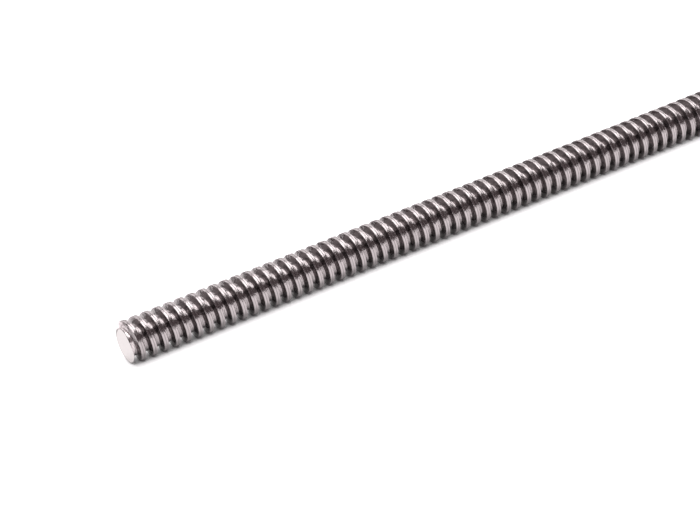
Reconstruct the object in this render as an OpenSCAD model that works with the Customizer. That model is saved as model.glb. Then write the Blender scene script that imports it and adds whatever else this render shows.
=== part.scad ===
// Trapezoidal lead screw: a round steel bar with one helical groove along its whole length.
// The thread has the standard trapezoidal form: 14 mm over the crests, 4 mm pitch, one start.
// The bar lies along +X, with +Z up. The origin is the centre of its near end face.

/* [Bar] */
// Diameter over the crests of the thread
bar_d = 14; // [12:0.5:18]
// Length of the bar between its two sawn end faces
bar_l = 250; // [80:10:300]

/* [Thread] */
// Distance along the bar from one turn to the next
pitch = 4; // [3:0.5:5]
// Angle between the two flanks of the groove, in degrees
flank_angle = 30; // [20:1:40]
// Play left between the root of the screw and the crest of its nut
root_play = 0.25; // [0.1:0.05:0.5]
// Way the thread turns: 1 for right-hand, -1 for left-hand
thread_hand = 1; // [1, -1]
// Place round the near end face where the middle of the crest runs out, in degrees
start_angle = 280; // [0:5:355]

/* [Hidden] */

steel = "#b9b4b2";

// Profile of the groove, in the plane of the bar's axis.
// The groove is half a pitch wide at the pitch line, which lies a quarter pitch below the crest.
bar_r = bar_d / 2;
pitch_line_r = bar_r - pitch / 4;
thread_depth = pitch / 2 + root_play;
root_r = bar_r - thread_depth;
function groove_half_width(r) = pitch / 4 + (r - pitch_line_r) * tan(flank_angle / 2);

// Straight steps round one turn: as many as the whole length can bear.
turns = bar_l / pitch;
finest_steps = 24;
most_steps_in_all = 1400;
steps = min(finest_steps, floor(most_steps_in_all / turns));

// The cutter stands out of the bar, so that its straight steps never leave a skin on the crest.
cutter_lip = 0.25;
cutter_r = bar_r / cos(180 / steps) + cutter_lip;
cutter_profile = [
    [root_r, -groove_half_width(root_r)],
    [root_r, groove_half_width(root_r)],
    [cutter_r, groove_half_width(cutter_r)],
    [cutter_r, -groove_half_width(cutter_r)],
];

// The cutter runs on past both end faces. Its middle is half a pitch away from the crest's.
run_on = 1.5 * pitch;
cutter_turns = (bar_l + 2 * run_on) / pitch;
last_step = ceil(cutter_turns * steps);
function cutter_x(i) = i * pitch / steps - run_on;
function cutter_angle(i) = start_angle + thread_hand * 360 * (cutter_x(i) - pitch / 2) / pitch;
function cutter_point(i, corner) = [
    cutter_x(i) + corner[1],
    corner[0] * cos(cutter_angle(i)),
    corner[0] * sin(cutter_angle(i)),
];

corners = len(cutter_profile);
cutter_points = [
    for (i = [0 : last_step])
        for (corner = cutter_profile)
            cutter_point(i, corner)
];
first_cap = [for (j = [0 : corners - 1]) j];
last_cap = [for (j = [corners - 1 : -1 : 0]) last_step * corners + j];
function side_panels(i, j) =
    let (a = i * corners + j,
         b = i * corners + (j + 1) % corners)
    [[a, b + corners, b], [a, a + corners, b + corners]];
right_hand_faces = [
    first_cap,
    for (i = [0 : last_step - 1])
        for (j = [0 : corners - 1])
            for (panel = side_panels(i, j))
                panel,
    last_cap,
];
function turned_over(face) = [for (k = [len(face) - 1 : -1 : 0]) face[k]];
cutter_faces = thread_hand > 0
    ? right_hand_faces
    : [for (face = right_hand_faces) turned_over(face)];

module groove_cutter() {
    polyhedron(cutter_points, cutter_faces, convexity = 10);
}

module plain_bar() {
    rotate([0, 90, 0])
        cylinder(h = bar_l, d = bar_d, $fn = 96);
}

module lead_screw() {
    color(steel)
        difference() {
            plain_bar();
            groove_cutter();
        }
}

lead_screw();
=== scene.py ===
# A trapezoidal lead screw, lying on a white studio floor.
# The bar lies along +X from the origin, with +Z up, as in part.scad. Lengths are in metres.
import math

import bmesh
import bpy
import numpy as np
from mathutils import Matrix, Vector


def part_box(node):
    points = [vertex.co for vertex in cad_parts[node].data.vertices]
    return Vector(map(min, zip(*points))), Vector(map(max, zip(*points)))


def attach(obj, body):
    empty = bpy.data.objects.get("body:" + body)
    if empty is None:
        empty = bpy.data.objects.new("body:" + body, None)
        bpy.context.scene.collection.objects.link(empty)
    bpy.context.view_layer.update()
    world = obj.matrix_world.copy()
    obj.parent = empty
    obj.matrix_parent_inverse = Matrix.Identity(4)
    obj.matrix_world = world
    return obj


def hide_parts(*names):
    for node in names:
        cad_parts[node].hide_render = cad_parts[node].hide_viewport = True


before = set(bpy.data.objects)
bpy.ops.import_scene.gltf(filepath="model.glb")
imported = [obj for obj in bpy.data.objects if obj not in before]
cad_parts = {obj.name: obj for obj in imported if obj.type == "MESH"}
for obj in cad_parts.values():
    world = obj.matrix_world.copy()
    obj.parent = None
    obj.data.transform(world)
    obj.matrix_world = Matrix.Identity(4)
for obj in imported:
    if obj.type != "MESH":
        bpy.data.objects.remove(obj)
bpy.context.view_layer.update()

# The threaded bar.
# A round steel bar with one helical groove, rolled into it cold and polished by the rollers.
# Both ends are sawn square and their sharp rims filed, so the groove runs out through the faces.
MM = 0.001
bar_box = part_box("lead_screw")
near_face_x, far_face_x = bar_box[0][0], bar_box[1][0]
bar_length = far_face_x - near_face_x
crest_radius = 7 * MM
thread_pitch = 4 * MM
crest_angle_at_near_face = math.radians(280)
root_play = 0.25 * MM
flank_slope = math.tan(math.radians(15))
thread_depth = 0.5 * thread_pitch + root_play
root_radius = crest_radius - thread_depth
crest_flat = 0.5 * thread_pitch - 0.5 * thread_pitch * flank_slope
flank_run = thread_depth * flank_slope
crest_edge_round = 0.15 * MM
root_corner_round = 0.28 * MM
filed_edge = 0.35 * MM
steps_per_turn = 72
points_per_corner = 4
spare_turns = 2
sharpest_smooth_edge = math.radians(40)


def rounded_corner(before, corner, after, round_radius):
    """An arc of points that takes the place of a sharp corner: it touches both straight lines, and
    its centre lies on the line that halves the angle between them."""
    to_before = (before - corner) / np.linalg.norm(before - corner)
    to_after = (after - corner) / np.linalg.norm(after - corner)
    half_angle = 0.5 * math.acos(float(to_before @ to_after))
    middle = (to_before + to_after) / np.linalg.norm(to_before + to_after)
    centre = corner + middle * round_radius / math.sin(half_angle)
    first = corner + to_before * round_radius / math.tan(half_angle) - centre
    last = corner + to_after * round_radius / math.tan(half_angle) - centre
    sweep = math.acos(float(first @ last) / round_radius**2)
    share = np.linspace(0, 1, points_per_corner)[:, None]
    arc = np.sin((1 - share) * sweep) * first + np.sin(share * sweep) * last
    return centre + arc / math.sin(sweep)


def thread_form():
    """One pitch of the thread as (place along the bar, radius): a flat crest about zero, a straight
    flank down, a flat root, and a flank up to the next crest, with all four corners rounded."""
    crest_end = 0.5 * crest_flat
    corners = np.array(
        [
            (-crest_end - flank_run, root_radius),
            (-crest_end, crest_radius),
            (crest_end, crest_radius),
            (crest_end + flank_run, root_radius),
            (thread_pitch - crest_end - flank_run, root_radius),
            (thread_pitch - crest_end, crest_radius),
        ]
    )
    rounds = (crest_edge_round, crest_edge_round, root_corner_round, root_corner_round)
    return np.concatenate([rounded_corner(*corners[i : i + 3], rounds[i]) for i in range(4)])


def helical_surface():
    """Carries the thread form round the bar. Each point moves along the bar by one pitch per turn,
    so at angle a it lies at its place in the form + pitch x (a - angle at the near face) / turn.
    The end of each turn is joined to the start of the next, one pitch on. Each corner of a face
    also gets its place on the unrolled thread: turns along it, and millimetres across it from the
    middle of the crest."""
    form = thread_form()
    per_pitch = len(form)
    pitches = np.arange(-spare_turns, math.ceil(bar_length / thread_pitch) + spare_turns + 1)
    along = (form[:, 0][None, :] + thread_pitch * pitches[:, None]).ravel()
    radius = np.tile(form[:, 1], len(pitches))
    angle = 2 * math.pi * np.arange(steps_per_turn) / steps_per_turn
    x = along + thread_pitch * (angle[:, None] - crest_angle_at_near_face) / (2 * math.pi)
    y = radius * np.cos(angle)[:, None]
    z = radius * np.sin(angle)[:, None]
    points = np.stack([x, y, z], -1).reshape(-1, 3)

    index = np.arange(len(points)).reshape(steps_per_turn, -1)
    rows = np.concatenate([index, np.roll(index[0], -per_pitch)[None]])
    faces = np.stack([rows[:-1, :-1], rows[:-1, 1:], rows[1:, 1:], rows[1:, :-1]], -1)

    turn = np.repeat(pitches, per_pitch)[:-1]
    across = np.stack([along[:-1], along[1:], along[1:], along[:-1]], -1)
    across -= thread_pitch * turn[:, None]
    round_share = (np.arange(steps_per_turn)[:, None] + np.array([0, 0, 1, 1])) / steps_per_turn
    unrolled = np.empty(faces.shape + (2,))
    unrolled[..., 0] = turn[None, :, None] + round_share[:, None, :]
    unrolled[..., 1] = across[None] / MM

    whole = np.ones(faces.shape[:2], bool)
    whole[-1, -per_pitch:] = False
    return points, faces[whole], unrolled[whole]


def piece_from(name, points, faces):
    """A new object at the origin with these points and faces."""
    mesh = bpy.data.meshes.new(name)
    mesh.from_pydata(points.tolist(), [], faces.tolist())
    piece = bpy.data.objects.new(name, mesh)
    bpy.context.scene.collection.objects.link(piece)
    return piece


def saw_off(piece, place, direction):
    """Cuts the piece square across at this place along the bar, drops what lies beyond, and closes
    the cut with one flat face of the second material. A ring of edges marks where filing starts."""
    work = bmesh.new()
    work.from_mesh(piece.data)
    for cut, drop in ((place - direction * filed_edge, False), (place, True)):
        edge = bmesh.ops.bisect_plane(
            work,
            geom=work.verts[:] + work.edges[:] + work.faces[:],
            dist=1e-9,
            plane_co=(cut, 0, 0),
            plane_no=(direction, 0, 0),
            clear_outer=drop,
        )
    rim = [part for part in edge["geom_cut"] if isinstance(part, bmesh.types.BMEdge)]
    for face in bmesh.ops.contextual_create(work, geom=rim)["faces"]:
        face.material_index = 1
    bmesh.ops.recalc_face_normals(work, faces=work.faces[:])
    work.to_mesh(piece.data)
    work.free()


def file_rims(piece):
    """Slopes the rim of both faces: near a face, no point lies further from the axis than
    crest radius - filed width + distance to the face."""
    points = np.empty(3 * len(piece.data.vertices), np.float32)
    piece.data.vertices.foreach_get("co", points)
    points = points.reshape(-1, 3).astype(float)
    to_face = np.minimum(points[:, 0] - near_face_x, far_face_x - points[:, 0])
    allowed = crest_radius - filed_edge + to_face
    out = np.hypot(points[:, 1], points[:, 2])
    too_far = (to_face < filed_edge) & (out > allowed)
    points[too_far, 1:] *= (allowed / out)[too_far, None]
    piece.data.vertices.foreach_set("co", points.ravel())
    piece.data.update()


bar_points, bar_faces, bar_unrolled = helical_surface()
threaded_bar = piece_from("threaded_bar", bar_points, bar_faces)
unrolled_thread = threaded_bar.data.uv_layers.new(name="unrolled_thread")
unrolled_thread.data.foreach_set("uv", bar_unrolled.ravel())
saw_off(threaded_bar, near_face_x, -1)
saw_off(threaded_bar, far_face_x, 1)
file_rims(threaded_bar)
threaded_bar.data.shade_smooth()
threaded_bar.data.set_sharp_from_angle(angle=sharpest_smooth_edge)


def steel_finish(name):
    """A bare metal, with its node tree and shader at hand."""
    finish = bpy.data.materials.new(name)
    finish.use_nodes = True
    shader = finish.node_tree.nodes["Principled BSDF"]
    shader.inputs["Metallic"].default_value = 1.0
    return finish, finish.node_tree, shader


def add_math(tree, operation, *values):
    """A node that works on numbers. Each value is a number or another node's output."""
    node = tree.nodes.new("ShaderNodeMath")
    node.operation = operation
    for socket, value in zip(node.inputs, values):
        if isinstance(value, bpy.types.NodeSocket):
            tree.links.new(value, socket)
        else:
            socket.default_value = value
    return node.outputs[0]


def add_product(tree, product, *factors):
    """All of these values multiplied together."""
    for factor in factors:
        product = add_math(tree, "MULTIPLY", product, factor)
    return product


def add_step(tree, value, fade, low, high):
    """A smooth step: low where the value is under the fade's start, high where it is over its end."""
    node = tree.nodes.new("ShaderNodeMapRange")
    node.interpolation_type = "SMOOTHSTEP"
    node.inputs["From Min"].default_value = fade[0]
    node.inputs["From Max"].default_value = fade[1]
    node.inputs["To Min"].default_value = low
    node.inputs["To Max"].default_value = high
    tree.links.new(value, node.inputs["Value"])
    return node.outputs["Result"]


def add_parts(tree, vector):
    """The X, Y and Z of a vector."""
    node = tree.nodes.new("ShaderNodeSeparateXYZ")
    tree.links.new(vector, node.inputs[0])
    return node.outputs["X"], node.outputs["Y"], node.outputs["Z"]


def add_tone(tree, colour, tone):
    """The colour multiplied by the tone."""
    node = tree.nodes.new("ShaderNodeVectorMath")
    node.operation = "SCALE"
    node.inputs[0].default_value = colour
    tree.links.new(tone, node.inputs["Scale"])
    return node.outputs[0]


def add_relief(tree, height, full_height, under=None):
    """Normals of a surface raised by height x full height, over the relief under it, if any."""
    node = tree.nodes.new("ShaderNodeBump")
    node.inputs["Strength"].default_value = 1.0
    node.inputs["Distance"].default_value = full_height
    tree.links.new(height, node.inputs["Height"])
    if under is not None:
        tree.links.new(under, node.inputs["Normal"])
    return node.outputs[0]


def add_streaks(tree, turns, across, per_turn, per_mm):
    """Noise drawn out along the thread, in cells of 1 turn / per turn by 1 mm / per mm."""
    cell = tree.nodes.new("ShaderNodeCombineXYZ")
    tree.links.new(add_product(tree, turns, per_turn), cell.inputs["X"])
    tree.links.new(add_product(tree, across, per_mm), cell.inputs["Y"])
    noise = tree.nodes.new("ShaderNodeTexNoise")
    noise.inputs["Scale"].default_value = 1.0
    noise.inputs["Detail"].default_value = 3.0
    tree.links.new(cell.outputs[0], noise.inputs["Vector"])
    return noise.outputs[0]


def axis_distance_group():
    """A group that gives the distance from the bar's axis: the square root of Y x Y + Z x Z."""
    group = bpy.data.node_groups.new("distance_from_axis", "ShaderNodeTree")
    group.interface.new_socket("Place", in_out="INPUT", socket_type="NodeSocketVector")
    group.interface.new_socket("Distance", in_out="OUTPUT", socket_type="NodeSocketFloat")
    start = group.nodes.new("NodeGroupInput")
    end = group.nodes.new("NodeGroupOutput")
    _, side, height = add_parts(group, start.outputs["Place"])
    side_squared = add_math(group, "POWER", side, 2.0)
    height_squared = add_math(group, "POWER", height, 2.0)
    total = add_math(group, "ADD", side_squared, height_squared)
    group.links.new(add_math(group, "SQRT", total), end.inputs["Distance"])
    return group


distance_from_axis = axis_distance_group()


def add_axis_distance(tree, place):
    """The distance from the bar's axis at this place."""
    node = tree.nodes.new("ShaderNodeGroup")
    node.node_tree = distance_from_axis
    tree.links.new(place, node.inputs["Place"])
    return node.outputs["Distance"]


# Rolled steel, bright on the crests. Its flanks, roots and underside are darker in the colour:
# painted shade, where the groove and the floor close the bar in.
# A tone multiplies the colour. A fade is where one tone gives way to the next.
rolled_colour = (0.48, 0.435, 0.44)
flank_shade_tone = 0.62
flank_top_fade = (6.6 * MM, 6.9 * MM)
root_shade_tone = 0.92
flank_foot_fade = (root_radius, 5.1 * MM)
underside_shade_tone = 0.6
underside_shade_fade = (-4.2 * MM, -2.0 * MM)
seam_tone = 0.55
seam_fade_in_millimetres = (0.05, 0.2)
filed_and_sheen_tone = 1.75
filed_extra_roughness = 0.07
filed_fade = (0.9 * MM, 1.6 * MM)
rim_shade_line_tone = 0.15
rim_shade_line_fade = (0.15 * MM, 0.34 * MM)
nick_place = (21.25 * MM, -4.05 * MM, 3.9 * MM)
nick_glint_tone = 1.8
nick_glint_fade = (0.35 * MM, 0.6 * MM)
nick_slope = (0.1 * MM, 0.7 * MM)
nick_depth = 0.3 * MM
noise_fade = (0.3, 0.7)
dull_streak_tone, bright_streak_tone = 0.86, 1.06
smooth_streak_roughness, rough_streak_roughness = 0.15, 0.27
ripple_height = 0.18 * MM
streak_height = 0.02 * MM

rolled_steel, rolled, rolled_shader = steel_finish("rolled_steel")
unrolled_place = rolled.nodes.new("ShaderNodeUVMap")
unrolled_place.uv_map = "unrolled_thread"
turns, across, _ = add_parts(rolled, unrolled_place.outputs[0])
place = rolled.nodes.new("ShaderNodeTexCoord").outputs["Object"]
along_bar, _, above_axis = add_parts(rolled, place)
from_axis = add_axis_distance(rolled, place)
to_far_face = add_math(rolled, "SUBTRACT", bar_length, along_bar)
to_face = add_math(rolled, "MINIMUM", along_bar, to_far_face)
to_seam = add_math(rolled, "ABSOLUTE", across)
to_nick = rolled.nodes.new("ShaderNodeVectorMath")
to_nick.operation = "DISTANCE"
to_nick.inputs[1].default_value = nick_place
rolled.links.new(place, to_nick.inputs[0])

broad_streaks = add_streaks(rolled, turns, across, per_turn=5.0, per_mm=3.0)
fine_streaks = add_streaks(rolled, turns, across, per_turn=9.0, per_mm=12.0)
ripples = add_streaks(rolled, turns, across, per_turn=26.0, per_mm=2.6)
filed = add_step(rolled, to_face, filed_fade, 1.0, 0.0)

# Flanks and roots get a darker colour than the crests: painted shade in the groove.
groove_shade = add_math(
    rolled,
    "MAXIMUM",
    add_step(rolled, from_axis, flank_top_fade, flank_shade_tone, 1.0),
    add_step(rolled, from_axis, flank_foot_fade, root_shade_tone, flank_shade_tone),
)
streaked = add_step(rolled, broad_streaks, noise_fade, dull_streak_tone, bright_streak_tone)
seamed = add_step(rolled, to_seam, seam_fade_in_millimetres, seam_tone, 1.0)
# Darker towards the bottom of the bar: painted shade where the floor closes it in.
underside = add_step(rolled, above_axis, underside_shade_fade, underside_shade_tone, 1.0)
# A thin dark line just in from each face: painted shade along the crease where the groove meets the
# face.
rim_shade_line = add_step(rolled, to_face, rim_shade_line_fade, rim_shade_line_tone, 1.0)
# The nick's dent is real relief; its brighter colour is a painted glint.
nick_glint = add_step(rolled, to_nick.outputs["Value"], nick_glint_fade, nick_glint_tone, 1.0)
tone = add_product(rolled, groove_shade, streaked, seamed)
# Near each face the colour is raised: filed bare metal, and painted light where the first flank
# catches the floor's light.
tone = add_math(rolled, "MAXIMUM", tone, add_product(rolled, filed, filed_and_sheen_tone))
tone = add_product(rolled, tone, underside, rim_shade_line, nick_glint)
rolled.links.new(add_tone(rolled, rolled_colour, tone), rolled_shader.inputs["Base Color"])

streak_roughness = add_step(
    rolled, fine_streaks, noise_fade, smooth_streak_roughness, rough_streak_roughness
)
filed_roughness = add_product(rolled, filed, filed_extra_roughness)
rolled_roughness = add_math(rolled, "ADD", streak_roughness, filed_roughness)
rolled.links.new(rolled_roughness, rolled_shader.inputs["Roughness"])

nick_height = add_step(rolled, to_nick.outputs["Value"], nick_slope, 0.0, 1.0)
nick_relief = add_relief(rolled, nick_height, nick_depth)
ripple_relief = add_relief(rolled, ripples, ripple_height, nick_relief)
streak_relief = add_relief(rolled, fine_streaks, streak_height, ripple_relief)
rolled.links.new(streak_relief, rolled_shader.inputs["Normal"])

# Sawn steel: a flat grey face with fine slanting saw marks. Its colour is darker along its lower rim:
# painted shade, near the floor.
sawn_colour = (0.62, 0.58, 0.575)
sawn_roughness = 0.36
saw_mark_slant = math.radians(35)
saw_mark_cells_per_metre = (1, 100, 2600)
saw_mark_height = 0.03 * MM
rim_shade_share = 0.65
rim_shade_fade = (6.2 * MM, 6.5 * MM)
low_shade_fade = (-4.0 * MM, -1.0 * MM)

sawn_steel, sawn, sawn_shader = steel_finish("sawn_steel")
sawn_shader.inputs["Roughness"].default_value = sawn_roughness
place = sawn.nodes.new("ShaderNodeTexCoord").outputs["Object"]
slanted = sawn.nodes.new("ShaderNodeMapping")
slanted.inputs["Rotation"].default_value = (saw_mark_slant, 0, 0)
slanted.inputs["Scale"].default_value = saw_mark_cells_per_metre
sawn.links.new(place, slanted.inputs["Vector"])
saw_marks = sawn.nodes.new("ShaderNodeTexNoise")
saw_marks.inputs["Scale"].default_value = 1.0
sawn.links.new(slanted.outputs[0], saw_marks.inputs["Vector"])
saw_relief = add_relief(sawn, saw_marks.outputs[0], saw_mark_height)
sawn.links.new(saw_relief, sawn_shader.inputs["Normal"])

_, _, above_axis = add_parts(sawn, place)
from_axis = add_axis_distance(sawn, place)
rim_shade_mask = add_step(sawn, from_axis, rim_shade_fade, 0.0, rim_shade_share)
low_shade_mask = add_step(sawn, above_axis, low_shade_fade, 1.0, 0.0)
face_shade_tone = add_math(sawn, "SUBTRACT", 1.0, add_product(sawn, rim_shade_mask, low_shade_mask))
sawn.links.new(add_tone(sawn, sawn_colour, face_shade_tone), sawn_shader.inputs["Base Color"])

threaded_bar.data.materials.append(rolled_steel)
threaded_bar.data.materials.append(sawn_steel)
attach(threaded_bar, "root")
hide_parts("lead_screw")

# The studio floor.
# A flat sheet of white paper that the bar lies on. It isn't part of the bar.
# It shows a little brighter than it is lit, except where the bar closes it in, so shadow stays.
floor_reach = 3.0
floor_level = -crest_radius
paper_colour = (0.93, 0.92, 0.93, 1)
shade_reach = 20 * MM
openness_fade = (0.11, 0.23)
paper_lift = 0.45

floor_square = floor_reach * np.array([(-1, -1), (1, -1), (1, 1), (-1, 1)])
floor_points = np.column_stack([floor_square, np.full(4, floor_level)])
floor = piece_from("floor", floor_points, np.array([[0, 1, 2, 3]]))
white_paper = bpy.data.materials.new("white_paper")
white_paper.use_nodes = True
paper = white_paper.node_tree
paper_shader = paper.nodes["Principled BSDF"]
paper_shader.inputs["Base Color"].default_value = paper_colour
paper_shader.inputs["Roughness"].default_value = 0.9
paper_shader.inputs["Specular IOR Level"].default_value = 0.0
paper_shader.inputs["Emission Color"].default_value = (1, 1, 1, 1)
openness = paper.nodes.new("ShaderNodeAmbientOcclusion")
openness.samples = 8
openness.inputs["Distance"].default_value = shade_reach
lift = add_step(paper, openness.outputs["AO"], openness_fade, 0.0, paper_lift)
ray = paper.nodes.new("ShaderNodeLightPath").outputs
shown = add_math(paper, "MAXIMUM", ray["Is Camera Ray"], ray["Is Glossy Ray"])
shown = add_math(paper, "MAXIMUM", shown, ray["Is Transmission Ray"])
paper.links.new(add_product(paper, shown, lift), paper_shader.inputs["Emission Strength"])
floor.data.materials.append(white_paper)

# The studio light.
# A large softbox over the bar, a weaker one behind it and a small one past its far end.
# The room beyond them is nearly dark, and shows as the dark belt along the bar.
room_colour = (1, 0.8, 0.83, 1)
room_strength = 0.13
lamp_aim = (0.12, 0.0, 0.0)

studio = bpy.data.worlds.new("studio")
bpy.context.scene.world = studio
studio.use_nodes = True
studio.node_tree.nodes.clear()
room = studio.node_tree.nodes.new("ShaderNodeBackground")
room.inputs["Color"].default_value = room_colour
room.inputs["Strength"].default_value = room_strength
world_output = studio.node_tree.nodes.new("ShaderNodeOutputWorld")
studio.node_tree.links.new(room.outputs[0], world_output.inputs[0])


def softbox(name, place, width, height, watts):
    """A rectangular lamp at this place, turned to face the middle of the bar."""
    lamp = bpy.data.lights.new(name, "AREA")
    lamp.shape = "RECTANGLE"
    lamp.size, lamp.size_y = width, height
    lamp.energy = watts
    holder = bpy.data.objects.new(name, lamp)
    holder.location = place
    facing = Vector(lamp_aim) - Vector(place)
    holder.rotation_euler = facing.to_track_quat("-Z", "Y").to_euler()
    bpy.context.scene.collection.objects.link(holder)


softbox("overhead_softbox", (0.3, -0.3, 1.95), width=3.4, height=1.6, watts=47.0)
softbox("back_softbox", (0.3, 1.7, 1.2), width=3.4, height=1.8, watts=24.0)
softbox("far_softbox", (2.05, 0.5, 0.42), width=1.0, height=0.7, watts=5.0)

# The camera.
# It looks down the bar from in front of its near end, from a little above it, and is held aslant.
camera_place = (-0.228060, -0.681748, 0.273411)
camera_turn_degrees = (69.2416, 12.1645, -28.9571)

camera_data = bpy.data.cameras.new("camera")
camera_data.sensor_width = 36
camera_data.lens = 126.854
camera_data.clip_start = 0.01
camera_data.clip_end = 20
camera = bpy.data.objects.new("camera", camera_data)
camera.location = camera_place
camera.rotation_euler = [math.radians(turn) for turn in camera_turn_degrees]
bpy.context.scene.collection.objects.link(camera)
bpy.context.scene.camera = camera
bpy.context.scene.view_settings.view_transform = "Standard"
